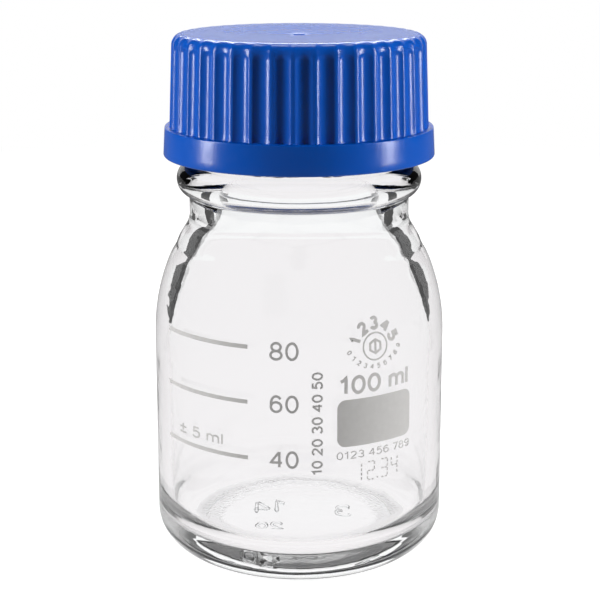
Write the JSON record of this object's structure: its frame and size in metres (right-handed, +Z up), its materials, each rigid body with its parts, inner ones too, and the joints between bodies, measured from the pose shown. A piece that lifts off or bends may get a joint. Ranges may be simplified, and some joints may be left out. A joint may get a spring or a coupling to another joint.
{
  "type": "reagent bottle",
  "caption": "Wide-neck clear glass laboratory bottle with a flat base, a beaded threaded neck, a pouring ring and a ribbed blue screw cap.",
  "frame": {"origin": "on the bottle's axis, on the plane it stands on", "axes": "+Z up along the axis of the bottle and its thread, -Y the front, midway between the printed scale and the writing field"},
  "size_m": [0.0566, 0.0566, 0.1004],
  "materials": {
    "glass": "clear polished borosilicate glass",
    "ring_plastic": "moulded blue polypropylene",
    "cap_plastic": "moulded blue polypropylene with a satin gloss",
    "enamel": "light grey fired enamel print"
  },
  "bodies": {
    "bottle": {"glass_bottle": "glass", "graduation_line_80": "enamel", "graduation_line_60": "enamel", "graduation_line_40": "enamel", "label_field": "enamel"},
    "ring": {"pouring_ring": "ring_plastic"},
    "cap": {"screw_cap": "cap_plastic"}
  },
  "joints": [
    {"name": "cap_turn", "type": "hinge", "parent": "bottle", "child": "ring", "pos_m": [0, 0, 0.09], "axis": [0, 0, 1], "range_deg": [0, 2160]},
    {"name": "cap_rise", "type": "slide", "parent": "ring", "child": "cap", "axis": [0, 0, 1], "range_m": [0, 0.024]}
  ],
  "couplings": [
    {"joint": "cap_rise", "follows": "cap_turn", "m_per_rad": 0.00063662}
  ]
}
